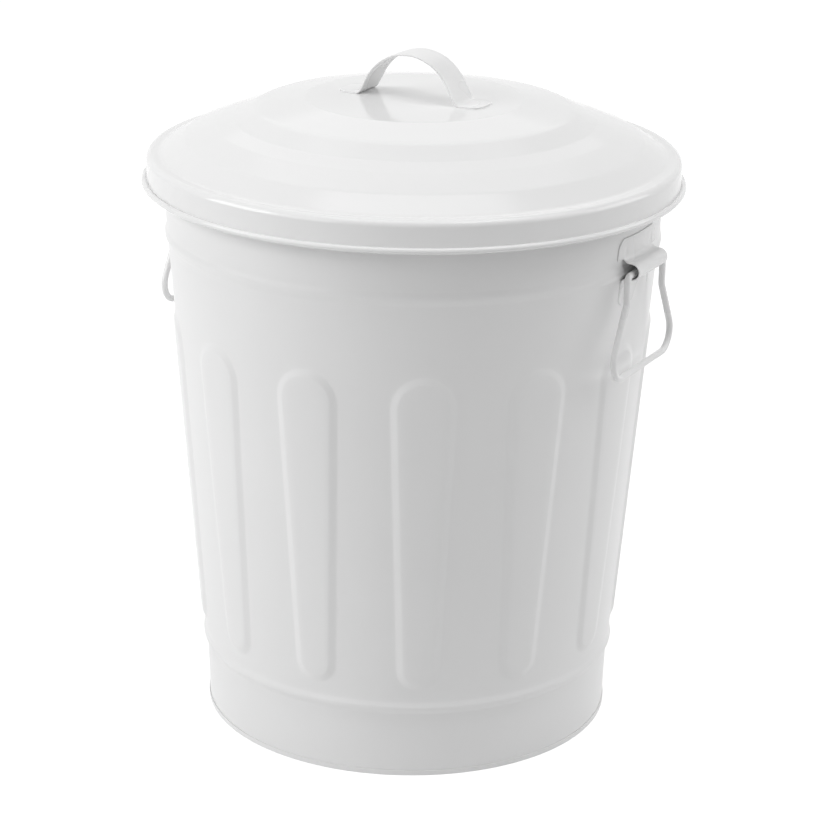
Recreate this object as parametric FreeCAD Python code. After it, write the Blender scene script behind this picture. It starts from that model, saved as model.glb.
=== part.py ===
import FreeCAD, Part
import math
import os

# A tapered sheet-metal bin with a lift-off lid. Lengths are millimetres and angles are degrees.
# The origin is the centre of the foot ring on the floor, +Z is up, and X runs through both handles.

# How finely small bends are drawn
bend_flats = 2                 # flats to a sharp bend; the lid's slight bends are plain corners
roll_flats = 7                 # flats to a rolled edge or a stiffening wire
wire_flats = 10                # flats round a bail's wire
bead_crest_share = 0.3         # of a bead's width that its flat crest takes

# Sheet and clearances
sheet = 0.6                    # body, pan and lid
bracket_sheet = 1.0
strap_sheet = 1.2
weld_gap = 0.05                # a welded piece stands this far off its seat
hem_slip = 0.15                # between the layers of the bottom hem
wire_slip = 0.1                # between a stiffening wire and its roll
lid_seat_gap = 0.3             # between the body's rim and the lid

# Body, on its outer face, from the floor up
cone_foot_radius = 160.7       # where the lower bead ends and the cone starts
cone_top_radius = 185.9        # where the cone ends and the upper bead starts
cone_top = 377.0               # height of that place
foot_set = 3.4                 # the foot stands in from the cone's foot
foot_straight = 6.0            # upright strip that the bottom hem grips
lower_bead_foot = 51.0         # height where the lower bead starts
lower_bead_set = 1.9           # its start stands in from the cone's foot
lower_bead_width = 11.4
lower_bead_rise = 2.1
upper_bead_width = 12.0
upper_bead_rise = 1.6
band_set = 1.3                 # the band stands out from the cone's top
band_height = 49.0             # from the cone's top to where the rim starts to flare
rim_flare = 7.2                # from the band out to the circle that the rolled rim is centred on
rim_rise = 14.3                # from the flare up to that circle
rim_roll = 3.0                 # outer radius of the roll
roll_sweep = 300.0             # how far round a rolled edge goes

foot_radius = cone_foot_radius - foot_set
band_radius = cone_top_radius + band_set
band_top = cone_top + band_height
rim_radius = band_radius + rim_flare
rim_height = band_top + rim_rise

# Flutes pressed outwards in the cone
flute_count = 13
flute_phase = -3.5             # angle from the right handle to the nearest flute
flute_raise = 1.5
flute_flank = 5.4              # width of the sloping edge round a flute
flute_head_room = 55.5         # plain wall above and below a flute, to the middle of its flank
flute_foot_room = 12.6
flute_top_radius = 21.5        # half widths, at the middle of the flank
flute_bottom_radius = 13.5

flute_top = cone_top - flute_head_room
flute_bottom = lower_bead_foot + lower_bead_width + flute_foot_room

# Bottom pan
pan_height = 12.0              # underside of the pan above the floor
pan_corner = 5.0
hem_height = 4.2

# Handle brackets and bails
barrel_stand = 5.6             # from the band out to the barrel's axis
barrel_rise = 7.2              # from the cone's top up to the barrel's axis
barrel_bore = 5.4              # inside radius of the half-round barrel
barrel_half_length = 25.2
flange_up = 24.3               # from the barrel's axis to the upper flange's edge
flange_down = 27.7             # and down to the lower flange's edge
flange_side = 7.8              # how far a flange goes past the barrel's end
flange_taper = 2.5             # how much narrower it is at its far edge
flange_corner = 8.0
weld_dimple = 6.0              # diameter of the mark that each spot weld leaves
weld_dimple_depth = 0.35
weld_side = 22.0               # from the bracket's middle to each weld
weld_edge = 11.3               # from a flange's far edge to its welds
bail_wire = 5.0                # diameter
bail_rest_gap = 0.8            # the bail hangs this far above the barrel's floor
bail_side_gap = 3.9            # between the barrel's end and the bail's leg
bail_bend = 4.5
bail_kink_drop = 21.0          # from the pivot down to the kink
bail_kink_bend = 14.0
bail_grip_half_width = 61.0
bail_grip_drop = 75.5
bail_corner = 15.0
bail_end_gap = 3.0             # between the wire's two ends inside the barrel

barrel_radius = band_radius + barrel_stand
barrel_height = cone_top + barrel_rise
flange_top = barrel_height + flange_up
flange_bottom = barrel_height - flange_down
flange_half_width = barrel_half_length + flange_side
bail_leg = barrel_half_length + bail_side_gap + bail_wire / 2

# Lid, on its outer face, from its skirt inwards; each width and rise is one ring's own
lid_skirt_gap = 3.4            # between the body's rolled rim and the inside of the skirt
lid_skirt_drop = 20.9          # from the land to the middle of the rolled edge
lid_roll = 2.2                 # outer radius of the rolled edge
lid_shoulder = 5.0
land_width = 10.4              # flat ring that rests on the body's rim
step_width = 18.0
step_rise = 11.2
slope_width = 23.0
slope_rise = 9.4
ledge_width = 13.5
ledge_rise = 4.8
wall_width = 17.5
wall_rise = 8.6
crown_width = 37.0             # up to the flat disc
crown_rise = 6.8

lid_skirt_radius = rim_radius + rim_roll + lid_skirt_gap + sheet
disc_rise = step_rise + slope_rise + ledge_rise + wall_rise + crown_rise

# Lid strap handle
strap_width = 28.4
strap_foot = 41.5              # half the distance between the two foot bends
strap_height = 35.0            # top of the strap above the lid's flat disc
strap_leg_angle = 62.0         # of the legs above the lid
strap_foot_bend = 4.0
strap_tab = 16.0
strap_tab_corner = 8.0

# Angle of each handle round the bin
handle_angles = {"right": 0.0, "left": 180.0}

axis_up = FreeCAD.Vector(0, 0, 1)
origin = FreeCAD.Vector(0, 0, 0)


def at(radius, height):
    return FreeCAD.Vector(radius, 0, height)


def rounded_path(corners):
    """Edges through corners of (point, rounding), each rounding a tangent arc."""
    edges = []
    start = corners[0][0]
    for before, here, after in zip(corners, corners[1:], corners[2:]):
        corner, rounding = here
        if rounding == 0:
            edges.append(Part.LineSegment(start, corner).toShape())
            start = corner
            continue
        back = (before[0] - corner).normalize()
        ahead = (after[0] - corner).normalize()
        half_angle = back.getAngle(ahead) / 2
        reach = rounding / math.tan(half_angle)
        first = corner + back * reach
        last = corner + ahead * reach
        bisector = (back + ahead).normalize()
        middle = corner + bisector * (rounding / math.sin(half_angle) - rounding)
        if (first - start).Length > 1e-6:
            edges.append(Part.LineSegment(start, first).toShape())
        edges.append(Part.Arc(first, middle, last).toShape())
        start = last
    edges.append(Part.LineSegment(start, corners[-1][0]).toShape())
    return edges


def bent_profile(corners):
    """Points of a sheet's profile through corners of (point, rounding), its bends in flats."""
    points = []
    for edge in rounded_path(corners):
        flats = bend_flats if isinstance(edge.Curve, Part.Circle) else 1
        points += edge.discretize(flats + 1)[:-1]
    return points + [corners[-1][0]]


def bead_profile(start, end, rise):
    """Points of a swaged bead that swells a sheet outwards by rise between two points."""
    along = (end - start).normalize()
    width = (end - start).Length
    out = FreeCAD.Vector(along.z, 0, -along.x)
    crest = start + along * (width / 2) + out * rise
    half_crest = along * (width * bead_crest_share / 2)
    return [start, crest - half_crest, crest + half_crest, end]


def roll_profile(centre, radius, start_angle, sweep):
    """Points of a roll round centre, with angles from the outward radius towards +Z."""
    points = []
    for step in range(roll_flats + 1):
        angle = math.radians(start_angle + sweep * step / roll_flats)
        points.append(centre + at(radius * math.cos(angle), radius * math.sin(angle)))
    return points


def turned_sheet(points, thickness):
    """Sheet metal turned about the bin's axis, with its thickness to one side of a profile."""
    profile = Part.makePolygon(points)
    strip = profile.makeOffset2D(thickness, 2, True, True)
    return strip.revolve(origin, axis_up, 360)


def turned_wire(radius, height, roll):
    """A wire bent into a ring that fits in the flats of a roll of the given outer radius."""
    flat_turn = math.radians(roll_sweep / roll_flats)
    wire_radius = (roll - sheet) * math.cos(flat_turn / 2) - wire_slip
    section = roll_profile(at(radius, height), wire_radius, 0, 360)
    return Part.Face(Part.makePolygon(section)).revolve(origin, axis_up, 360)


def cone_radius(height):
    cone_foot = lower_bead_foot + lower_bead_width
    slope = (cone_top_radius - cone_foot_radius) / (cone_top - cone_foot)
    return cone_foot_radius + slope * (height - cone_foot)


def flute_outline(growth, steps=10):
    """Points of a flute on the unrolled sheet, as (across, height), grown by growth."""
    top = flute_top - flute_top_radius
    bottom = flute_bottom + flute_bottom_radius
    lean = math.asin((flute_top_radius - flute_bottom_radius) / (top - bottom))
    points = []
    for step in range(steps + 1):
        angle = -lean + (math.pi + 2 * lean) * step / steps
        radius = flute_top_radius + growth
        points.append((radius * math.cos(angle), top + radius * math.sin(angle)))
    for step in range(steps + 1):
        angle = math.pi + lean + (math.pi - 2 * lean) * step / steps
        radius = flute_bottom_radius + growth
        points.append((radius * math.cos(angle), bottom + radius * math.sin(angle)))
    return points


def flute_tool(inset):
    """A block with a flute's sloping flanks, for the sheet's outer face moved in by inset."""
    top_cone = cone_radius(flute_top)
    slope = (top_cone - cone_radius(flute_bottom)) / (flute_top - flute_bottom)
    lean = math.atan(slope)
    normal = FreeCAD.Vector(math.cos(lean), 0, -math.sin(lean))
    seat = at(cone_radius(0) - inset, 0)

    def on_cone(across, height, lift):
        radius = cone_radius(height)
        angle = across / radius
        distance = radius - inset + lift
        return FreeCAD.Vector(distance * math.cos(angle), distance * math.sin(angle), height)

    feet = [on_cone(s, z, 0) for s, z in flute_outline(flute_flank / 2)]
    crowns = [on_cone(s, z, flute_raise) for s, z in flute_outline(-flute_flank / 2)]

    def slice_at(level):
        points = []
        for foot, crown in zip(feet, crowns):
            run = crown - foot
            share = (level - (foot - seat).dot(normal)) / run.dot(normal)
            points.append(foot + run * share)
        half = len(points) // 2
        top = Part.BSplineCurve()
        top.interpolate(Points=points[:half])
        bottom = Part.BSplineCurve()
        bottom.interpolate(Points=points[half:])
        return Part.Wire([
            top.toShape(),
            Part.LineSegment(points[half - 1], points[half]).toShape(),
            bottom.toShape(),
            Part.LineSegment(points[-1], points[0]).toShape(),
        ])

    deepest = min((foot - seat).dot(normal) for foot in feet)
    return Part.makeLoft([slice_at(deepest - 0.1), slice_at(flute_raise + 0.1)], True, True)


def filled_cone(offset):
    """The space inside the cone's outer face moved out by offset."""
    low = flute_bottom - flute_flank
    high = flute_top + flute_flank
    return Part.makeCone(
        cone_radius(low) + offset, cone_radius(high) + offset, high - low, at(0, low), axis_up
    )


def flutes(inset, floor):
    """All the flutes of a face moved in by inset, as blocks that start floor inside the cone."""
    one = flute_tool(inset).common(filled_cone(flute_raise - inset)).cut(filled_cone(-floor))
    blocks = []
    for number in range(flute_count):
        block = one.copy()
        block.rotate(origin, axis_up, flute_phase + number * 360 / flute_count)
        blocks.append(block)
    return blocks


def make_body_shell():
    lower_foot = at(cone_foot_radius - lower_bead_set, lower_bead_foot)
    lower_end = at(cone_foot_radius, lower_bead_foot + lower_bead_width)
    upper_foot = at(cone_top_radius, cone_top)
    upper_end = at(band_radius, cone_top + upper_bead_width)
    roll_inside = rim_roll - sheet
    flared = rim_radius - roll_inside
    points = [at(foot_radius, sheet + hem_slip), at(foot_radius, foot_straight)]
    points += bead_profile(lower_foot, lower_end, lower_bead_rise)
    points += bead_profile(upper_foot, upper_end, upper_bead_rise)
    points += [at(band_radius, band_top), at(flared, band_top + flared - band_radius)]
    points += roll_profile(at(rim_radius, rim_height), roll_inside, 180, -roll_sweep)
    shell = turned_sheet(points, sheet)
    return shell.fuse(flutes(0, sheet / 2)).cut(flutes(sheet, 2 * sheet))


def make_bottom_pan():
    flange = foot_radius - 2 * sheet - hem_slip
    hem = foot_radius + hem_slip + sheet
    points = bent_profile([
        (at(0, pan_height), 0),
        (at(flange, pan_height), pan_corner),
        (at(flange, 0), 0),
        (at(hem, 0), 0),
        (at(hem, hem_height), 0),
    ])
    return turned_sheet(points, sheet)


def make_lid_shell():
    rings = [
        (crown_width, crown_rise),
        (wall_width, wall_rise),
        (ledge_width, ledge_rise),
        (slope_width, slope_rise),
        (step_width, step_rise),
    ]
    spot = at(lid_skirt_radius - land_width - sum(ring[0] for ring in rings), lid_land() + disc_rise)
    corners = [(at(0, spot.z), 0), (spot, 0)]
    for width, rise in rings:
        spot = spot + at(width, -rise)
        corners.append((spot, 0))
    corners += [
        (at(lid_skirt_radius, lid_land()), lid_shoulder),
        (at(lid_skirt_radius, lid_land() - lid_skirt_drop), 0),
    ]
    points = bent_profile(corners)[:-1]
    points += roll_profile(lid_roll_centre(), lid_roll - sheet, 180, roll_sweep)
    return turned_sheet(points, -sheet)


def lid_land():
    """Height of the lid's outer face where it rests on the body's rim."""
    return rim_height + rim_roll + lid_seat_gap + sheet


def lid_roll_centre():
    return at(lid_skirt_radius + lid_roll - sheet, lid_land() - lid_skirt_drop)


def make_lid_handle():
    """A flat strap bent into an arch, its welded tabs lying on the lid's disc."""
    disc = lid_land() + disc_rise
    top = disc + strap_sheet
    leg = math.radians(strap_leg_angle)
    apex_rise = strap_foot * math.tan(leg)
    crown = (strap_sheet + apex_rise - strap_height) / (1 / math.cos(leg) - 1)
    end = strap_foot + strap_tab
    outer = Part.Wire(rounded_path([
        (at(-end, top), 0),
        (at(-strap_foot, top), strap_foot_bend),
        (at(0, top + apex_rise), crown),
        (at(strap_foot, top), strap_foot_bend),
        (at(end, top), 0),
    ]))
    side = outer.makeOffset2D(-strap_sheet, 0, True, True)
    side.translate(FreeCAD.Vector(0, -strap_width / 2, 0))
    strap = side.extrude(FreeCAD.Vector(0, strap_width, 0))
    corners = []
    for edge in strap.Edges:
        upright = abs(edge.BoundBox.ZLength - strap_sheet) < 1e-3
        if upright and edge.BoundBox.XLength < 1e-3 and abs(edge.BoundBox.XMax) > end - 1e-3:
            corners.append(edge)
    return strap.makeFillet(strap_tab_corner, corners)


def bracket_outline():
    """The bracket's outline as seen square on, in the plane across the handle's radius."""
    ledge_top = barrel_height + barrel_bore + bracket_sheet
    ledge_bottom = barrel_height - barrel_bore - bracket_sheet
    half = barrel_half_length

    def seen(across, height):
        return FreeCAD.Vector(0, across, height)

    def flange(end, ledge):
        corners = [
            (seen(-flange_half_width, ledge), 0),
            (seen(flange_taper - flange_half_width, end), flange_corner),
            (seen(flange_half_width - flange_taper, end), flange_corner),
            (seen(flange_half_width, ledge), 0),
        ]
        return rounded_path(corners)

    edges = flange(flange_top, ledge_top - bracket_sheet)
    edges += Part.makePolygon([
        seen(flange_half_width, ledge_top - bracket_sheet),
        seen(half, ledge_top - bracket_sheet),
        seen(half, ledge_bottom + bracket_sheet),
        seen(flange_half_width, ledge_bottom + bracket_sheet),
    ]).Edges
    edges += flange(flange_bottom, ledge_bottom + bracket_sheet)
    edges += Part.makePolygon([
        seen(-flange_half_width, ledge_bottom + bracket_sheet),
        seen(-half, ledge_bottom + bracket_sheet),
        seen(-half, ledge_top - bracket_sheet),
        seen(-flange_half_width, ledge_top - bracket_sheet),
    ]).Edges
    return Part.Wire(Part.__sortEdges__(edges))


def wall_ring(bottom, top, inner_bottom, inner_top, thickness):
    """A thin tapered ring of the given thickness across the radius."""
    section = Part.makePolygon([
        at(inner_bottom, bottom),
        at(inner_bottom + thickness, bottom),
        at(inner_top + thickness, top),
        at(inner_top, top),
        at(inner_bottom, bottom),
    ])
    return Part.Face(section).revolve(origin, axis_up, 360)


def make_bracket():
    """A pressed plate: a half-round barrel for the bail between two flanges welded to the body."""
    ceiling = barrel_height + barrel_bore
    floor = barrel_height - barrel_bore
    band = band_radius + weld_gap
    upper = wall_ring(ceiling, flange_top, band, band, bracket_sheet)
    lower = wall_ring(
        flange_bottom,
        floor,
        cone_radius(flange_bottom) + weld_gap,
        cone_radius(floor) + weld_gap,
        bracket_sheet,
    )
    root = cone_radius(cone_top) - barrel_half_length / 2
    barrel_path = Part.Wire([
        Part.LineSegment(at(root, ceiling), at(barrel_radius, ceiling)).toShape(),
        Part.Arc(
            at(barrel_radius, ceiling),
            at(barrel_radius + barrel_bore, barrel_height),
            at(barrel_radius, floor),
        ).toShape(),
        Part.LineSegment(at(barrel_radius, floor), at(root, floor)).toShape(),
    ])
    barrel_face = barrel_path.makeOffset2D(bracket_sheet, 0, True, True)
    barrel_face.translate(FreeCAD.Vector(0, -barrel_half_length, 0))
    barrel = barrel_face.extrude(FreeCAD.Vector(0, 2 * barrel_half_length, 0))
    blank = Part.Face(bracket_outline())
    blank.translate(FreeCAD.Vector(root, 0, 0))
    blank = blank.extrude(FreeCAD.Vector(barrel_radius - root + 2 * barrel_bore, 0, 0))
    body = revolved_body_outline(weld_gap)
    plate = upper.fuse([lower, barrel]).common(blank).cut(body).removeSplitter()
    return plate.cut(weld_marks())


def weld_marks():
    """Shallow dished cuts that the spot welds leave in the bracket's flanges."""
    marks = []
    for height in (flange_bottom + weld_edge, flange_top - weld_edge):
        wall = band_radius if height > cone_top else cone_radius(height)
        face = wall + weld_gap + bracket_sheet
        for side in (-1, 1):
            mark = Part.makeCone(
                weld_dimple / 4,
                weld_dimple * 3 / 4,
                2 * weld_dimple_depth,
                at(face - weld_dimple_depth, height),
                FreeCAD.Vector(1, 0, 0),
            )
            mark.rotate(origin, axis_up, side * math.degrees(weld_side / face))
            marks.append(mark)
    return marks


def revolved_body_outline(gap):
    """The space that the body's walls fill between the bracket's ends, grown by gap."""
    foot = at(cone_top_radius, cone_top)
    end = at(band_radius, cone_top + upper_bead_width)
    low = flange_bottom - flange_corner
    points = [at(0, low), at(cone_radius(low), low)]
    points += bead_profile(foot, end, upper_bead_rise)
    points += [at(band_radius, flange_top + flange_corner), at(0, flange_top + flange_corner)]
    wall = [point + at(gap, 0) if point.x else point for point in points]
    return Part.Face(Part.makePolygon(wall + wall[:1])).revolve(origin, axis_up, 360)


def make_bail():
    """A round wire bent into a handle, both ends held in the bracket's barrel."""
    pivot = bail_pivot_height()

    def on_bail(across, drop):
        return FreeCAD.Vector(barrel_radius, across, pivot - drop)

    half = [
        (on_bail(bail_end_gap / 2, 0), 0),
        (on_bail(bail_leg, 0), bail_bend),
        (on_bail(bail_leg, bail_kink_drop), bail_kink_bend),
        (on_bail(bail_grip_half_width, bail_grip_drop), bail_corner),
    ]
    mirrored = [(FreeCAD.Vector(p.x, -p.y, p.z), r) for p, r in reversed(half)]
    path = Part.Wire(rounded_path(half + mirrored))
    start = half[0][0]
    ring = []
    for flat in range(wire_flats + 1):
        angle = 2 * math.pi * (flat + 0.5) / wire_flats
        ring.append(start + at(bail_wire / 2 * math.cos(angle), bail_wire / 2 * math.sin(angle)))
    return path.makePipeShell([Part.makePolygon(ring)], True, False)


def bail_pivot_height():
    return barrel_height - barrel_bore + bail_wire / 2 + bail_rest_gap


def turned(shape, angle):
    shape = shape.copy()
    shape.rotate(origin, axis_up, angle)
    return shape


def main():
    os.makedirs("parts", exist_ok=True)
    wire_in_lid = lid_roll_centre()
    nodes = {
        "body_shell": make_body_shell(),
        "top_rim_wire": turned_wire(rim_radius, rim_height, rim_roll),
        "bottom_pan": make_bottom_pan(),
        "lid_shell": make_lid_shell(),
        "lid_rim_wire": turned_wire(wire_in_lid.x, wire_in_lid.z, lid_roll),
        "lid_handle": make_lid_handle(),
    }
    for side, angle in handle_angles.items():
        nodes["bracket_" + side] = turned(make_bracket(), angle)
        nodes["bail_" + side] = turned(make_bail(), angle)
    for name, shape in nodes.items():
        solid = shape.Solids[0]
        print(name, len(shape.Solids), solid.isValid(), round(solid.Volume), "mm3")
        solid.exportStep("parts/" + name + ".step")


main()
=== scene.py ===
import math

import bpy
from mathutils import Matrix, Vector


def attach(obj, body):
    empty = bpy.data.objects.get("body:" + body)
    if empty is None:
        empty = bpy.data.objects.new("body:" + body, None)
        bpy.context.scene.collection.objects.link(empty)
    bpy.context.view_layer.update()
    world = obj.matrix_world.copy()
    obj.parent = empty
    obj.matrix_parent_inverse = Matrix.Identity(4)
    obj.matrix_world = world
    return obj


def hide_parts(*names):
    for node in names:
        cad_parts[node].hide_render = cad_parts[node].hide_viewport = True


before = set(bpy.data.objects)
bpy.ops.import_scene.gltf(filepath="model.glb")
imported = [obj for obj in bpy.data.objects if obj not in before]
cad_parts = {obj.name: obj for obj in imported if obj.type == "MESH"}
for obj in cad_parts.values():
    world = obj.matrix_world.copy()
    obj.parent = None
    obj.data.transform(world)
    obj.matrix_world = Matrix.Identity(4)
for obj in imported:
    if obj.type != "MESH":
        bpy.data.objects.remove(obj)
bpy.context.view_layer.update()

mm = 0.001
up = Vector((0, 0, 1))
halfTurn = math.pi


def clearSelection():
    if bpy.context.mode != "OBJECT":
        bpy.ops.object.mode_set(mode="OBJECT")
    bpy.ops.object.select_all(action="DESELECT")


def at(radius, height, angle=0.0):
    # millimetres from the bin's axis to a place in metres
    return Vector((radius * math.cos(angle), radius * math.sin(angle), height)) * mm


def roundedCorners(corners, stepDegrees=9.0):
    # (x, y, rounding) corners to points, each corner an arc that meets both sides
    points = [Vector(corners[0][:2])]
    for before, here, after in zip(corners, corners[1:], corners[2:]):
        corner = Vector(here[:2])
        back = (Vector(before[:2]) - corner).normalized()
        ahead = (Vector(after[:2]) - corner).normalized()
        half = back.angle(ahead) / 2
        if here[2] == 0 or math.pi - 2 * half < 1e-4:
            points.append(corner)
            continue
        reach = here[2] / math.tan(half)
        centre = corner + (back + ahead).normalized() * (here[2] / math.sin(half))
        first = corner + back * reach - centre
        turn = first.angle_signed(corner + ahead * reach - centre)
        steps = max(2, math.ceil(abs(math.degrees(turn)) / stepDegrees))
        for step in range(steps + 1):
            points.append(centre + Matrix.Rotation(-turn * step / steps, 2) @ first)
    points.append(Vector(corners[-1][:2]))
    return points


def along(first, last, steps):
    # evenly spaced points from first up to, but not with, last
    return [Vector(first).lerp(Vector(last), step / steps) for step in range(steps)]


def swell(first, last, rise, steps=12):
    # a swaged bead: a smooth hump between two points of an upright wall, a little fuller than a wave
    points = []
    for step in range(steps):
        share = step / steps
        hump = rise * (0.5 - 0.5 * math.cos(2 * math.pi * share)) ** 0.75
        points.append(Vector(first).lerp(Vector(last), share) + Vector((hump, 0)))
    return points


def rolled(centre, radius, startDegrees, sweepDegrees, steps):
    # points round a rolled edge
    points = []
    for step in range(steps + 1):
        angle = math.radians(startDegrees + sweepDegrees * step / steps)
        points.append(Vector(centre) + radius * Vector((math.cos(angle), math.sin(angle))))
    return points


def extrudedLine(name, points):
    # one vertex pulled along a line of points
    clearSelection()
    bpy.ops.mesh.primitive_plane_add(size=mm, location=points[0])
    line = bpy.context.object
    line.name = name
    bpy.ops.object.transform_apply(location=True)
    bpy.ops.object.mode_set(mode="EDIT")
    bpy.ops.mesh.select_all(action="SELECT")
    bpy.ops.mesh.merge(type="CENTER")
    for here, following in zip(points, points[1:]):
        bpy.ops.mesh.extrude_region_move(TRANSFORM_OT_translate={"value": following - here})
    return line


def spunSheet(name, profile, columns, startAngle=0.0):
    # a profile of (radius, height) points spun round the bin's axis, as a bare surface
    line = extrudedLine(name, [at(point[0], point[1], startAngle) for point in profile])
    bpy.ops.mesh.select_all(action="SELECT")
    bpy.ops.mesh.spin(steps=columns, angle=2 * math.pi, center=(0, 0, 0), axis=up)
    bpy.ops.mesh.select_all(action="SELECT")
    bpy.ops.mesh.remove_doubles(threshold=0.005 * mm)
    bpy.ops.object.mode_set(mode="OBJECT")
    return line


def joined(name, pieces, threshold=0.02):
    # one mesh of several, their shared edges merged
    clearSelection()
    for piece in pieces:
        piece.select_set(True)
    bpy.context.view_layer.objects.active = pieces[0]
    bpy.ops.object.join()
    whole = bpy.context.object
    whole.name = name
    bpy.ops.object.mode_set(mode="EDIT")
    bpy.ops.mesh.select_all(action="SELECT")
    bpy.ops.mesh.remove_doubles(threshold=threshold * mm)
    bpy.ops.mesh.normals_make_consistent(inside=False)
    bpy.ops.object.mode_set(mode="OBJECT")
    return whole


def pick(piece):
    clearSelection()
    piece.select_set(True)
    bpy.context.view_layer.objects.active = piece


def applyModifier(piece, kind, **settings):
    pick(piece)
    modifier = piece.modifiers.new(kind.title(), kind)
    for key, value in settings.items():
        setattr(modifier, key, value)
    bpy.ops.object.modifier_apply(modifier=modifier.name)


def thickened(piece, sheet):
    # the sheet lies behind the faces
    applyModifier(piece, "SOLIDIFY", thickness=sheet * mm, offset=-1.0, use_even_offset=True)


def softEdges(piece, width, degrees=50):
    applyModifier(piece, "BEVEL", width=width * mm, segments=2,
                  limit_method="ANGLE", angle_limit=math.radians(degrees))


def facingOut(piece, outwards):
    # makes the faces agree, then turns them all round if outwards(mesh) is negative
    pick(piece)
    bpy.ops.object.mode_set(mode="EDIT")
    bpy.ops.mesh.select_all(action="SELECT")
    bpy.ops.mesh.normals_make_consistent(inside=False)
    bpy.ops.object.mode_set(mode="OBJECT")
    if outwards(piece.data) < 0:
        bpy.ops.object.mode_set(mode="EDIT")
        bpy.ops.mesh.flip_normals()
        bpy.ops.object.mode_set(mode="OBJECT")


def smoothShaded(piece, degrees=40.0):
    pick(piece)
    bpy.ops.object.shade_smooth_by_angle(angle=math.radians(degrees))


def outwardSum(mesh):
    # positive where the faces look away from the bin's axis
    total = 0.0
    for face in mesh.polygons:
        total += face.area * face.normal.dot(Vector((face.center.x, face.center.y, 0)))
    return total


def upwardSum(mesh):
    return sum(face.area * face.normal.z for face in mesh.polygons)


def linear(code):
    # sRGB hex to linear
    parts = [int(code[i:i + 2], 16) / 255 for i in (1, 3, 5)]
    return tuple(c / 12.92 if c <= 0.04045 else ((c + 0.055) / 1.055) ** 2.4 for c in parts) + (1.0,)


def addNode(tree, kind, settings={}, links={}):
    # one node with its fields, its socket values and the sockets that feed it
    node = tree.nodes.new(kind)
    for key, value in settings.items():
        if hasattr(node, key):
            setattr(node, key, value)
        else:
            node.inputs[key].default_value = value
    for key, source in links.items():
        tree.links.new(source, node.inputs[key])
    return node


def newMaterial(name):
    material = bpy.data.materials.new(name)
    material.use_nodes = True
    material.node_tree.nodes.clear()
    return material, material.node_tree


def whitePowderCoat(name, tone, roughness, ripple):
    # Polyester powder baked on steel: a hard white skin with a soft gloss. Its powder flows
    # out before it sets, which leaves an orange peel about 2.5 mm across that breaks up the edges
    # of reflections, and the sheet under it waves a little where it was pressed.
    material, tree = newMaterial(name)
    place = addNode(tree, "ShaderNodeTexCoord")
    here = {"Vector": place.outputs["Object"]}
    peel = addNode(tree, "ShaderNodeTexNoise",
                   {"Scale": 1 / 0.0025, "Detail": 1.0, "Roughness": 0.4}, here)
    wave = addNode(tree, "ShaderNodeTexNoise",
                   {"Scale": 1 / 0.07, "Detail": 1.0, "Roughness": 0.5}, here)
    waveBump = addNode(tree, "ShaderNodeBump", {"Strength": 1.0, "Distance": ripple * mm},
                       {"Height": wave.outputs["Fac"]})
    peelBump = addNode(tree, "ShaderNodeBump", {"Strength": 0.35, "Distance": 0.01 * mm},
                       {"Height": peel.outputs["Fac"], "Normal": waveBump.outputs["Normal"]})
    cloud = addNode(tree, "ShaderNodeTexNoise",
                    {"Scale": 1 / 0.12, "Detail": 2.0, "Roughness": 0.5}, here)
    tint = addNode(tree, "ShaderNodeValToRGB", {}, {"Fac": cloud.outputs["Fac"]})
    tint.color_ramp.elements[0].color = linear(tone[0])
    tint.color_ramp.elements[1].color = linear(tone[1])
    spread = 0.03
    gloss = addNode(tree, "ShaderNodeMapRange",
                    {"From Min": 0.3, "From Max": 0.7,
                     "To Min": roughness - spread, "To Max": roughness + spread},
                    {"Value": cloud.outputs["Fac"]})
    coat = addNode(tree, "ShaderNodeBsdfPrincipled", {"IOR": 1.5},
                   {"Base Color": tint.outputs["Color"], "Roughness": gloss.outputs["Result"],
                    "Normal": peelBump.outputs["Normal"]})
    addNode(tree, "ShaderNodeOutputMaterial", {}, {"Surface": coat.outputs["BSDF"]})
    return material


def drawnSteelWire():
    # Steel wire pulled through a die: fine scratches run along it, and it is plain grey metal
    material, tree = newMaterial("drawnSteelWire")
    place = addNode(tree, "ShaderNodeTexCoord")
    scratch = addNode(tree, "ShaderNodeTexNoise",
                      {"Scale": 1 / 0.0006, "Detail": 3.0}, {"Vector": place.outputs["Object"]})
    gloss = addNode(tree, "ShaderNodeMapRange", {"To Min": 0.3, "To Max": 0.5},
                    {"Value": scratch.outputs["Fac"]})
    bump = addNode(tree, "ShaderNodeBump", {"Strength": 0.3, "Distance": 0.01 * mm},
                   {"Height": scratch.outputs["Fac"]})
    steel = addNode(tree, "ShaderNodeBsdfPrincipled", {"Base Color": linear("#a9a9a6"), "Metallic": 1.0},
                    {"Roughness": gloss.outputs["Result"], "Normal": bump.outputs["Normal"]})
    addNode(tree, "ShaderNodeOutputMaterial", {}, {"Surface": steel.outputs["BSDF"]})
    return material


bodyCoat = whitePowderCoat("whitePowderCoatOnRolledSheet", ("#ededed", "#f1f1f1"), 0.32, 0.12)
lidCoat = whitePowderCoat("whitePowderCoatOnPressedLid", ("#eeeeee", "#f2f2f2"), 0.13, 0.08)
smallPartCoat = whitePowderCoat("whitePowderCoatOnBentParts", ("#ededed", "#f1f1f1"), 0.28, 0.0)
wireMetal = drawnSteelWire()


def dress(piece, material, body, slot, *nodes):
    piece.data.materials.clear()
    piece.data.materials.append(material)
    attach(piece, body)
    if nodes:
        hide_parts(*nodes)


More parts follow.
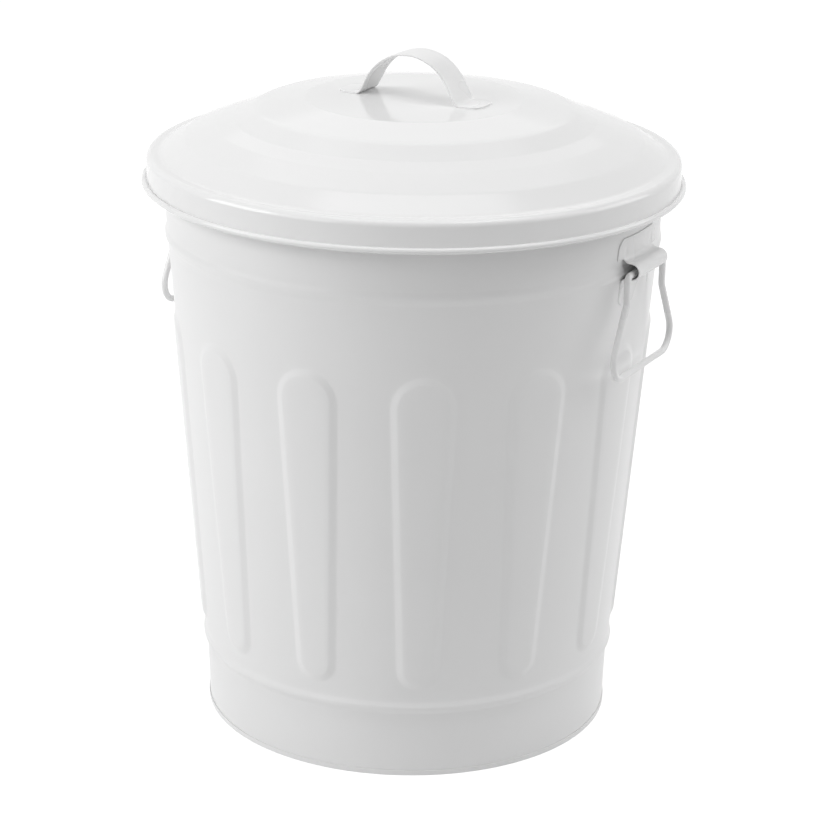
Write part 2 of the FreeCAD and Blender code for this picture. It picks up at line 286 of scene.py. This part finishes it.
# The bin body is one rolled sheet with pressed flutes, two swaged beads and a rolled rim.
bodyPlan = {
    "sheet": 0.6,
    "footRadius": 157.3,
    "footStart": 0.75,               # height of the sheet's lower edge, inside the hem
    "footStraight": 6.0,             # height where the foot leaves the upright
    "lowerBead": ((158.8, 51.0), (160.7, 62.4), 2.1),
    "upperBead": ((185.9, 377.0), (187.2, 389.0), 1.6),
    "bandTop": (187.2, 426.0),
    "rimCentre": (194.4, 440.3),
    "rimRoll": 3.0,
    "rollSweep": -300.0,
    "rollSteps": 26,
    "flareBend": 3.0,
    "flareRise": 1.5,                # how far above bandTop the flare begins
    "fluteCount": 13,
    "flutePhase": math.radians(-3.5),
    "raise": 1.8,
    "flank": 6.4,
    "fluteTop": (300.0, 21.5),       # height of the end's centre, and its radius
    "fluteBottom": (88.5, 13.5),
    "columns": 16,                   # of faces to each flute
    "edgeLevels": (300, 92),         # heights that split a sector's side edges
    "edgeRows": (9, 10, 5),          # of faces above, between and below them
    "crownRings": (0.0, 0.35, 0.7),  # from the flute's middle to its flank
    "flankSteps": 8,
    "fieldRings": (0.08, 0.22, 0.45, 0.72, 1.0),      # from the flank to the sector's edge
    "slopeShare": 0.6,               # of the flank's rise that is a plain slope, the rest is rounded
}


def coneRadius(height):
    (lowRadius, lowHeight), (highRadius, highHeight) = bodyPlan["lowerBead"][1], bodyPlan["upperBead"][0]
    return lowRadius + (highRadius - lowRadius) * (height - lowHeight) / (highHeight - lowHeight)


def fluteReach(across, height):
    # how far a place on the flat sheet is outside a flute's edge, and the way straight out
    highCentre, highRadius = bodyPlan["fluteTop"]
    lowCentre, lowRadius = bodyPlan["fluteBottom"]
    side = -1.0 if across < 0 else 1.0
    spot = Vector((abs(across), height - lowCentre))
    length = highCentre - lowCentre
    lean = (lowRadius - highRadius) / length
    flat = math.sqrt(1 - lean * lean)
    climb = spot.dot(Vector((-lean, flat)))
    if climb < 0:
        reach, way = spot.length - lowRadius, spot.normalized()
    elif climb > flat * length:
        rest = spot - Vector((0, length))
        reach, way = rest.length - highRadius, rest.normalized()
    else:
        way = Vector((flat, lean))
        reach = spot.dot(way) - lowRadius
    return reach, Vector((side * way.x, way.y))


def sectorBorder():
    # the flat sheet's edge round one flute: along the top, down the right side, back along
    # the foot and up the left side
    top = bodyPlan["upperBead"][0][1]
    foot = bodyPlan["lowerBead"][1][1]
    columns = bodyPlan["columns"]
    half = math.pi / bodyPlan["fluteCount"]
    levels = (top, *bodyPlan["edgeLevels"], foot)
    heights = []
    for high, low, rows in zip(levels, levels[1:], bodyPlan["edgeRows"]):
        heights += [high - (high - low) * step / rows for step in range(rows)]
    border = [(half * (2 * step / columns - 1), top) for step in range(columns)]
    border += [(half, height) for height in heights]
    border += [(half * (1 - 2 * step / columns), foot) for step in range(columns)]
    border += [(-half, height) for height in [foot] + heights[:0:-1]]
    return border


def fluteSector():
    # A disc of rings is laid out flat, each ring is fitted round the flute or to the sector's
    # edge, and the sheet is wrapped on the cone with the flute pressed outwards.
    plan = bodyPlan
    border = sectorBorder()
    count = len(border)
    flankSteps = plan["flankSteps"]
    flankRings = [plan["flank"] * (step / flankSteps - 0.5) for step in range(flankSteps + 1)]
    fieldRings = plan["fieldRings"]
    crownRings = plan["crownRings"]
    rings = len(crownRings) + len(flankRings) + len(fieldRings)
    clearSelection()
    bpy.ops.mesh.primitive_circle_add(vertices=count, radius=1.0)
    sector = bpy.context.object
    bpy.ops.object.mode_set(mode="EDIT")
    bpy.ops.mesh.select_all(action="SELECT")
    for ring in range(1, rings):
        bpy.ops.mesh.extrude_region_move()
        bpy.ops.transform.resize(value=[(ring + 1) / ring] * 3)
    bpy.ops.object.mode_set(mode="OBJECT")
    for vertex in sector.data.vertices:
        spot = vertex.co
        ring = round(spot.length) - 1
        turn = round(math.atan2(spot.x, spot.y) / (2 * math.pi) * count) % count
        angle, height = border[turn]
        across = angle * coneRadius(height)
        reach, way = fluteReach(across, height)
        edge = Vector((across, height)) - reach * way
        inner = edge + flankRings[0] * way
        if ring < len(crownRings):
            centreLine = Vector((0.0, min(max(edge.y, plan["fluteBottom"][0]), plan["fluteTop"][0])))
            place = centreLine.lerp(inner, crownRings[ring])
        elif ring < len(crownRings) + len(flankRings):
            place = edge + flankRings[ring - len(crownRings)] * way
        else:
            share = fieldRings[ring - len(crownRings) - len(flankRings)]
            place = edge + (flankRings[-1] + (reach - flankRings[-1]) * share) * way
        outside, _ = fluteReach(place.x, place.y)
        rise = min(max(0.5 - outside / plan["flank"], 0.0), 1.0)
        rounded = rise * rise * (3 - 2 * rise)
        rise = plan["raise"] * (plan["slopeShare"] * rise + (1 - plan["slopeShare"]) * rounded)
        radius = coneRadius(place.y)
        vertex.co = at(radius + rise, place.y, place.x / radius)
    bpy.ops.object.mode_set(mode="EDIT")
    bpy.ops.mesh.select_all(action="SELECT")
    bpy.ops.mesh.remove_doubles(threshold=0.02 * mm)
    bpy.ops.object.mode_set(mode="OBJECT")
    return sector


def makeBody():
    plan = bodyPlan
    pitch = 2 * math.pi / plan["fluteCount"]
    first = fluteSector()
    sectors = []
    for number in range(plan["fluteCount"]):
        sector = first if number == 0 else bpy.data.objects.new("sector", first.data.copy())
        if number:
            bpy.context.collection.objects.link(sector)
        sectors.append(sector)
    for number, sector in enumerate(sectors):
        sector.data.transform(Matrix.Rotation(plan["flutePhase"] + number * pitch, 4, "Z"))
    columns = plan["fluteCount"] * plan["columns"]
    start = plan["flutePhase"] - pitch / 2
    lowFoot, lowEnd, lowRise = plan["lowerBead"]
    highFoot, highEnd, highRise = plan["upperBead"]
    foot = [(plan["footRadius"], plan["footStart"])]
    foot += along((plan["footRadius"], plan["footStraight"]), lowFoot, 3)
    foot += swell(lowFoot, lowEnd, lowRise) + [Vector(lowEnd)]
    roll = plan["rimRoll"] - plan["sheet"] / 2
    flared = plan["rimCentre"][0] - roll
    flare = plan["bandTop"][1] + flared - plan["bandTop"][0]
    bend, rise = plan["flareBend"], plan["flareRise"]
    band = swell(highFoot, highEnd, highRise) + along(highEnd, plan["bandTop"], 3)
    band += roundedCorners([
        (*plan["bandTop"], 0), (plan["bandTop"][0], plan["bandTop"][1] + rise, bend),
        (flared, flare + rise, bend), (flared, plan["rimCentre"][1], 0),
    ])[:-1]
    band += rolled(plan["rimCentre"], roll, 180, plan["rollSweep"], plan["rollSteps"])
    pieces = sectors + [spunSheet("foot", foot, columns, start), spunSheet("band", band, columns, start)]
    body = joined("binBody", pieces)
    facingOut(body, outwardSum)
    thickened(body, plan["sheet"])
    smoothShaded(body)
    return body


binBody = makeBody()
dress(binBody, bodyCoat, "bin", "body_coat", "body_shell")
print("bin body made:", len(binBody.data.polygons), "faces")


# The bottom pan is dropped into the foot and hemmed round it.
panPlan = {
    "sheet": 0.6, "height": 12.0, "wall": 156.25, "corner": 5.0, "flat": 144.25,
    "hemOut": 158.05, "hemHeight": 4.2, "hemBend": 0.9, "rings": 12, "columns": 208,
}


def makePan():
    plan = panPlan
    profile = along((0, plan["height"]), (plan["flat"], plan["height"]), plan["rings"])
    profile += roundedCorners([
        (plan["flat"], plan["height"], 0), (plan["wall"], plan["height"], plan["corner"]),
        (plan["wall"], 0.0, plan["hemBend"]), (plan["hemOut"], 0.0, plan["hemBend"]),
        (plan["hemOut"], plan["hemHeight"], 0),
    ], stepDegrees=15)
    pan = spunSheet("bottomPan", profile, plan["columns"])
    facingOut(pan, lambda mesh: -upwardSum(mesh))
    thickened(pan, plan["sheet"])
    smoothShaded(pan)
    return pan


bottomPan = makePan()
dress(bottomPan, bodyCoat, "bin", "pan_coat", "bottom_pan")
print("bottom pan made")


# The lid is one pressed sheet in shallow rings, with a rolled edge.
lidPlan = {
    "sheet": 0.6,
    "land": 444.2,
    "rings": [                          # radius, height above the land, bend
        (82.0, 40.8, 8.0), (119.0, 34.0, 20.0), (136.5, 25.4, 20.0), (150.0, 20.6, 20.0),
        (173.0, 11.2, 20.0), (191.0, 0.0, 8.0), (201.4, 0.0, 5.0),
    ],
    "skirtFoot": (201.4, -20.9),
    "roll": 2.2,                        # outside radius of the rolled edge
    "rollSweep": 338.0,
    "rollSteps": 26,
    "flat": 70.0,                       # the disc's middle has even rings of faces out to here
    "flatRings": 10,
    "columns": 240,
}


def makeLid():
    plan = lidPlan
    land = plan["land"]
    disc = land + plan["rings"][0][1]
    corners = [(plan["flat"], disc, 0)]
    corners += [(radius, land + rise, bend) for radius, rise, bend in plan["rings"]]
    corners += [(plan["skirtFoot"][0], land + plan["skirtFoot"][1], 0)]
    profile = along((0, disc), (plan["flat"], disc), plan["flatRings"])
    profile += roundedCorners(corners, stepDegrees=3.0)[:-1]
    roll = plan["roll"] - plan["sheet"]
    centre = (plan["skirtFoot"][0] + roll, land + plan["skirtFoot"][1])
    profile += rolled(centre, roll, 180, plan["rollSweep"], plan["rollSteps"])
    lid = spunSheet("lidShell", profile, plan["columns"])
    facingOut(lid, upwardSum)
    thickened(lid, plan["sheet"])
    smoothShaded(lid)
    return lid


lidShell = makeLid()
dress(lidShell, lidCoat, "lid", "lid_coat", "lid_shell")
print("lid made:", len(lidShell.data.polygons), "faces")


# The lid's handle is flat strip bent into an arch, its rounded tabs welded to the disc.
strapPlan = {
    "sheet": 1.2, "width": 28.4, "foot": 41.5, "tab": 18.5, "tabCorner": 8.0,
    "top": 36.2,                       # of the arch above the disc
    "legAngle": math.radians(62.0), "footBend": 4.0, "crown": 0.5,
    "crownFull": 6.0,                  # the section is flat at the disc and full this far above it
    "crownCentre": 20.0,               # the crown looks away from a point this far under the disc
    "disc": 485.0, "rows": 12, "edge": 0.3,
}


def makeStrap():
    plan = strapPlan
    seat = plan["disc"] + plan["sheet"]
    apex = plan["foot"] * math.tan(plan["legAngle"])
    bend = (plan["sheet"] + apex - plan["top"] + plan["sheet"]) / (1 / math.cos(plan["legAngle"]) - 1)
    end = plan["foot"] + plan["tab"]
    path = roundedCorners([
        (-end, seat, 0), (-plan["foot"], seat, plan["footBend"]), (0, seat + apex, bend),
        (plan["foot"], seat, plan["footBend"]), (end, seat, 0),
    ], stepDegrees=4.0)
    tips = [end - plan["tabCorner"] * (1 - math.cos(math.radians(angle))) for angle in range(0, 91, 15)]
    path = [Vector((-x, seat)) for x in tips] + path[1:-1] + [Vector((x, seat)) for x in reversed(tips)]
    clearSelection()
    bpy.ops.mesh.primitive_grid_add(x_subdivisions=len(path) - 1, y_subdivisions=plan["rows"], size=2.0)
    strap = bpy.context.object
    strap.name = "lidStrap"
    straight = plan["width"] / 2 - plan["tabCorner"]
    for vertex in strap.data.vertices:
        spot = path[round((vertex.co.x + 1) / 2 * (len(path) - 1))]
        inset = abs(spot.x) - (end - plan["tabCorner"])
        half = plan["width"] / 2
        if inset > 0:
            half = straight + math.sqrt(max(plan["tabCorner"] ** 2 - inset ** 2, 0))
        lift = max(0.0, min(1.0, (spot.y - seat) / plan["crownFull"]))
        crown = plan["crown"] * lift * (1 - vertex.co.y ** 2)
        side = Vector((spot.x, spot.y - plan["disc"] + plan["crownCentre"])).normalized() * crown
        drop = plan["crown"] * lift
        vertex.co = Vector((spot.x + side.x, vertex.co.y * half, spot.y + side.y - drop)) * mm
    facingOut(strap, upwardSum)
    thickened(strap, plan["sheet"])
    softEdges(strap, plan["edge"])
    smoothShaded(strap)
    return strap


lidStrap = makeStrap()
dress(lidStrap, smallPartCoat, "lid", "lid_handle_coat", "lid_handle")
print("lid strap made")


# Each handle bracket is a pressed plate: a half-round barrel between two welded flanges.
bracketPlan = {
    "sheet": 0.8, "gap": 0.05, "wall": 187.2,
    "barrelRadius": 192.8, "barrelHeight": 384.2, "bore": 5.6, "barrelHalf": 25.2,
    "top": 408.5, "topHalf": 30.5, "topCorner": 8.0, "wingHalf": 33.0, "wingColumns": 6,
    "bottom": 356.5, "bottomCorner": 5.0,
    "blend": 4.0, "blendMargin": (0.5, 0.2), "barrelSteps": 20,
    "flatten": 4.0,                    # the plate goes from round to straight over this rise
    "step": 1.15, "wingMargin": 1.5, "highRows": 6, "edge": 0.25,
    "seamFill": 0.6,                   # the coat fills the seam along the plate's far edges
    "welds": ((22.0, 397.6), (22.0, 361.5)), "weldHalf": (2.9, 4.2), "weldDepth": 0.5,
    "weldSlope": 2.2,
}


def bracketHalf(height):
    # half the plate's width at a height: wings above the barrel, none below, far corners rounded
    plan = bracketPlan
    if height > plan["barrelHeight"]:
        fromEnd, corner = plan["top"] - height, plan["topCorner"]
        share = fromEnd / (plan["top"] - plan["barrelHeight"] - plan["bore"])
        half = plan["topHalf"] + (plan["wingHalf"] - plan["topHalf"]) * min(max(share, 0), 1)
    else:
        fromEnd, corner = height - plan["bottom"], plan["bottomCorner"]
        half = plan["barrelHalf"]
    if fromEnd < corner:
        half -= corner - math.sqrt(max(corner ** 2 - (corner - max(fromEnd, 0)) ** 2, 0))
    return half


def weldDip(across, height):
    # how deep the electrodes of the spot welder pressed the plate at a place
    plan = bracketPlan
    wide, high = plan["weldHalf"]
    for side, middle in plan["welds"]:
        away = math.hypot((abs(across) - side) / wide, (height - middle) / high)
        if away < 1:
            return plan["weldDepth"] * min(1.0, plan["weldSlope"] * (1 - away))
    return 0.0


def coneSeat(height):
    # radius of the plate's outer side where it lies on the cone
    return coneRadius(height) + bracketPlan["gap"] + bracketPlan["sheet"]


def makeBracket(name):
    plan = bracketPlan
    outer = plan["bore"] + plan["sheet"]
    seat = plan["wall"] + plan["gap"] + plan["sheet"]
    ceiling = plan["barrelHeight"] + outer
    floor = plan["barrelHeight"] - outer
    turns = [1 - math.cos(math.radians(angle)) for angle in range(0, 91, 18)]
    lowMargin, highMargin = plan["blendMargin"]
    lowFirst, lowLast = plan["bottom"] + plan["bottomCorner"], floor - plan["blend"] - lowMargin
    highFirst, highLast = ceiling + plan["blend"] + highMargin, plan["top"] - plan["topCorner"]
    heights = [plan["bottom"] + plan["bottomCorner"] * turn for turn in turns]
    count = round((lowLast - lowFirst) / plan["step"])
    heights += [lowFirst + (lowLast - lowFirst) * step / count for step in range(1, count + 1)]
    lower = [Vector((coneSeat(height), height)) for height in heights]
    count = plan["highRows"]
    heights = [highFirst + (highLast - highFirst) * step / count for step in range(count)]
    heights += [plan["top"] - plan["topCorner"] * turn for turn in reversed(turns)]
    upper = [Vector((seat, height)) for height in heights]
    middle = roundedCorners([
        (*lower[-1], 0), (coneSeat(floor), floor, plan["blend"]), (plan["barrelRadius"], floor, 0),
    ], stepDegrees=12)[1:-1]
    middle += rolled((plan["barrelRadius"], plan["barrelHeight"]), outer, -90, 180, plan["barrelSteps"])
    middle += roundedCorners([
        (plan["barrelRadius"], ceiling, 0), (seat, ceiling, plan["blend"]), (*upper[0], 0),
    ], stepDegrees=12)[1:-1]
    profile = lower + middle + upper
    rows = len(profile) - 1
    inner = round(plan["barrelHalf"] / plan["step"])
    columns = 2 * (inner + plan["wingColumns"])
    wingRow = rows - len(upper) - 2     # the wings reach down beside the blend
    clearSelection()
    bpy.ops.mesh.primitive_grid_add(x_subdivisions=columns, y_subdivisions=rows, size=2.0)
    plate = bpy.context.object
    plate.name = name
    bpy.ops.object.mode_set(mode="EDIT")
    bpy.ops.mesh.select_mode(type="FACE")
    bpy.ops.mesh.select_all(action="DESELECT")
    bpy.ops.object.mode_set(mode="OBJECT")
    for face in plate.data.polygons:
        row = (face.center.y + 1) / 2 * rows
        column = abs(face.center.x) / 2 * columns
        face.select = column > inner and row < wingRow
    bpy.ops.object.mode_set(mode="EDIT")
    bpy.ops.mesh.delete(type="FACE")
    bpy.ops.mesh.select_mode(type="VERT")
    bpy.ops.object.mode_set(mode="OBJECT")
    for vertex in plate.data.vertices:
        row = round((vertex.co.y + 1) / 2 * rows)
        column = round(vertex.co.x / 2 * columns)
        spot = profile[row]
        wide = bracketHalf(spot.y)
        straight = plan["barrelHalf"]
        if row > rows - len(upper):
            straight = min(straight, wide - plan["wingMargin"])
        elif row < len(lower):
            straight = wide
        across = column / inner * straight
        if abs(column) > inner:
            share = (abs(column) - inner) / plan["wingColumns"]
            across = math.copysign(straight + (wide - straight) * share, column)
        radial = spot.x - weldDip(across, spot.y)
        if abs(column) > inner:
            radial = min(radial, seat)
        if row == rows or row < len(lower) and abs(column) == inner:
            radial -= plan["seamFill"]
        bowl = radial - math.sqrt(radial ** 2 - across ** 2)
        flat = min(max((radial - seat) / plan["flatten"], 0.0), 1.0)
        vertex.co = Vector((radial - bowl * (1 - flat), across, spot.y)) * mm
    facingOut(plate, lambda mesh: sum(face.area * face.normal.x for face in mesh.polygons))
    thickened(plate, plan["sheet"])
    softEdges(plate, plan["edge"])
    smoothShaded(plate)
    return plate


# Each bail is round wire, bent where the legs leave the barrel, at the kinks and at the grip.
bailPlan = {
    "wire": 5.0, "radius": 192.8, "pivot": 382.1, "endGap": 3.0, "leg": 31.6, "legBend": 4.5,
    "kinkDrop": 21.0, "kinkBend": 5.0, "gripHalf": 61.0, "gripDrop": 75.5, "gripBend": 15.0,
    "sides": 24, "bendStep": 7.0, "edge": 0.4,
}


def makeBail(name):
    # a ring of vertices goes along the wire: straight runs are extruded and bends are spun
    plan = bailPlan
    half = [
        (plan["endGap"] / 2, 0.0, 0.0), (plan["leg"], 0.0, plan["legBend"]),
        (plan["leg"], -plan["kinkDrop"], plan["kinkBend"]),
        (plan["gripHalf"], -plan["gripDrop"], plan["gripBend"]),
    ]
    corners = half + [(-across, drop, bend) for across, drop, bend in reversed(half)]

    def inPlace(spot):
        return Vector((plan["radius"], spot[0], plan["pivot"] + spot[1])) * mm

    clearSelection()
    bpy.ops.mesh.primitive_circle_add(
        vertices=plan["sides"], radius=plan["wire"] / 2 * mm,
        location=inPlace(corners[0]), rotation=(math.pi / 2, 0, 0))
    wire = bpy.context.object
    wire.name = name
    bpy.ops.object.transform_apply(location=True, rotation=True)
    bpy.ops.object.mode_set(mode="EDIT")
    bpy.ops.mesh.select_all(action="SELECT")
    bpy.ops.mesh.edge_face_add()
    here = Vector(corners[0][:2])
    for before, corner, after in zip(corners, corners[1:], corners[2:]):
        spot = Vector(corner[:2])
        back = (Vector(before[:2]) - spot).normalized()
        ahead = (Vector(after[:2]) - spot).normalized()
        halfAngle = back.angle(ahead) / 2
        reach = corner[2] / math.tan(halfAngle)
        first = spot + back * reach
        centre = spot + (back + ahead).normalized() * (corner[2] / math.sin(halfAngle))
        turn = math.pi - 2 * halfAngle
        leftHand = (spot - first).cross(ahead) > 0
        bpy.ops.mesh.extrude_region_move(
            TRANSFORM_OT_translate={"value": inPlace(first) - inPlace(here)})
        steps = max(4, round(math.degrees(turn) / plan["bendStep"]))
        bpy.ops.mesh.spin(steps=steps, angle=-turn if leftHand else turn,
                          center=inPlace(centre), axis=(1, 0, 0))
        here = spot + ahead * reach
    bpy.ops.mesh.extrude_region_move(
        TRANSFORM_OT_translate={"value": inPlace(corners[-1]) - inPlace(here)})
    bpy.ops.mesh.select_all(action="SELECT")
    bpy.ops.mesh.remove_doubles(threshold=0.01 * mm)
    bpy.ops.mesh.normals_make_consistent(inside=False)
    bpy.ops.object.mode_set(mode="OBJECT")
    softEdges(wire, plan["edge"], 60)
    smoothShaded(wire)
    return wire


for side, turn in (("right", 0.0), ("left", halfTurn)):
    bracket = makeBracket(side + "Bracket")
    bail = makeBail(side + "Bail")
    for piece in (bracket, bail):
        piece.data.transform(Matrix.Rotation(turn, 4, "Z"))
    dress(bracket, smallPartCoat, "bin", "bracket_coat", "bracket_" + side)
    dress(bail, smallPartCoat, "bail_" + side, "bail_coat", "bail_" + side)
print("brackets and bails made")

for node in ("top_rim_wire", "lid_rim_wire"):
    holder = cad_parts[node]
    for slot in holder.material_slots:
        slot.material = wireMetal


# The floor, the lights and the camera.
stagePlan = {
    "floorSize": 30.0,
    "floorPaint": 0.8,
    "floorSeen": (0.25, 0.93),         # grey and glow of the floor where the camera sees it
    "skyFill": 0.125,
    "lampDistance": 4.2,
    "lampAim": 0.25,                   # height that every softbox looks at
    # azimuth from the camera, rightwards, and elevation in degrees; size in metres; watts
    "lamps": {
        "leftSoftbox": (-80, 25, 2.26, 65.5),
        "frontLeftSoftbox": (-50, 25, 2.26, 30.0),
        "leftHighSoftbox": (-70, 60, 2.58, 10.4),
        "overheadSoftbox": (0, 85, 3.23, 43.1),
        "rightHighSoftbox": (70, 60, 2.58, 37.6),
        "frontRightSoftbox": (70, 25, 2.26, 15.1),
        "rightSoftbox": (100, 25, 2.26, 34.2),
        "backSoftbox": (180, 45, 2.91, 7.8),
    },
    "cameraPlace": (0.9701, -1.8185, 0.9595),
    "lens": 122.03,
    "elevation": math.radians(19.41),
    "roll": math.radians(0.909),
    "heading": math.radians(28.0),
}


def whiteRays(tree):
    # 1 for what the camera sees straight, in a gloss or through glass, and 0 for light that bounces
    path = addNode(tree, "ShaderNodeLightPath")
    seen = addNode(tree, "ShaderNodeMath", {"operation": "MAXIMUM"})
    tree.links.new(path.outputs["Is Camera Ray"], seen.inputs[0])
    tree.links.new(path.outputs["Is Glossy Ray"], seen.inputs[1])
    through = addNode(tree, "ShaderNodeMath", {"operation": "MAXIMUM"})
    tree.links.new(seen.outputs[0], through.inputs[0])
    tree.links.new(path.outputs["Is Transmission Ray"], through.inputs[1])
    return through.outputs[0]


def makeFloor():
    plan = stagePlan
    grey, light = plan["floorSeen"]
    paint = (plan["floorPaint"],) * 3 + (1.0,)
    material, tree = newMaterial("paintedStudioFloor")   # pale matt floor that the camera sees as white
    fillSide = addNode(tree, "ShaderNodeBsdfDiffuse", {"Color": paint})
    shade = addNode(tree, "ShaderNodeBsdfDiffuse", {"Color": (grey, grey, grey, 1.0)})
    glow = addNode(tree, "ShaderNodeEmission", {"Color": (1.0, 1.0, 1.0, 1.0), "Strength": light})
    seenSide = addNode(tree, "ShaderNodeAddShader")
    tree.links.new(shade.outputs[0], seenSide.inputs[0])
    tree.links.new(glow.outputs[0], seenSide.inputs[1])
    mixed = addNode(tree, "ShaderNodeMixShader", {}, {"Fac": whiteRays(tree)})
    tree.links.new(fillSide.outputs[0], mixed.inputs[1])
    tree.links.new(seenSide.outputs[0], mixed.inputs[2])
    addNode(tree, "ShaderNodeOutputMaterial", {}, {"Surface": mixed.outputs[0]})
    material.cycles.emission_sampling = "NONE"          # the glow is a colour, not a lamp
    clearSelection()
    bpy.ops.mesh.primitive_plane_add(size=plan["floorSize"], location=(0, 0, 0))
    floor = bpy.context.object
    floor.name = "studioFloor"
    floor.data.materials.append(material)


def makeWorld():
    world = bpy.data.worlds.new("studio")
    bpy.context.scene.world = world
    world.use_nodes = True
    tree = world.node_tree
    tree.nodes.clear()
    white = (1.0, 1.0, 1.0, 1.0)
    soft = addNode(tree, "ShaderNodeBackground", {"Color": white, "Strength": stagePlan["skyFill"]})
    plain = addNode(tree, "ShaderNodeBackground", {"Color": white, "Strength": 1.0})
    mixed = addNode(tree, "ShaderNodeMixShader", {}, {"Fac": whiteRays(tree)})
    tree.links.new(soft.outputs[0], mixed.inputs[1])
    tree.links.new(plain.outputs[0], mixed.inputs[2])
    addNode(tree, "ShaderNodeOutputWorld", {}, {"Surface": mixed.outputs[0]})


def addLight(name, azimuth, elevation, size, watts):
    # a square softbox that looks at the bin's middle
    direction = stagePlan["heading"] - math.pi / 2 + math.radians(azimuth)
    lift = math.radians(elevation)
    flat = math.cos(lift)
    way = Vector((flat * math.cos(direction), flat * math.sin(direction), math.sin(lift)))
    lamp = bpy.data.lights.new(name, "AREA")
    lamp.shape = "SQUARE"
    lamp.size = size
    lamp.energy = watts
    holder = bpy.data.objects.new(name, lamp)
    holder.location = way * stagePlan["lampDistance"] + up * stagePlan["lampAim"]
    holder.rotation_euler = way.to_track_quat("Z", "Y").to_euler()
    bpy.context.collection.objects.link(holder)


def makeCamera():
    camera = bpy.data.cameras.new("photoCamera")
    camera.sensor_width = 36.0
    camera.lens = stagePlan["lens"]
    holder = bpy.data.objects.new("photoCamera", camera)
    bpy.context.collection.objects.link(holder)
    turn = Matrix.Rotation(stagePlan["heading"], 4, "Z")
    tilt = Matrix.Rotation(math.pi / 2 - stagePlan["elevation"], 4, "X")
    roll = Matrix.Rotation(stagePlan["roll"], 4, "Z")
    holder.matrix_world = Matrix.Translation(stagePlan["cameraPlace"]) @ turn @ tilt @ roll
    bpy.context.scene.camera = holder


makeFloor()
makeWorld()
for name, (azimuth, elevation, size, watts) in stagePlan["lamps"].items():
    addLight(name, azimuth, elevation, size, watts)
makeCamera()
bpy.context.scene.view_settings.view_transform = "Standard"
print("floor, light and camera made")
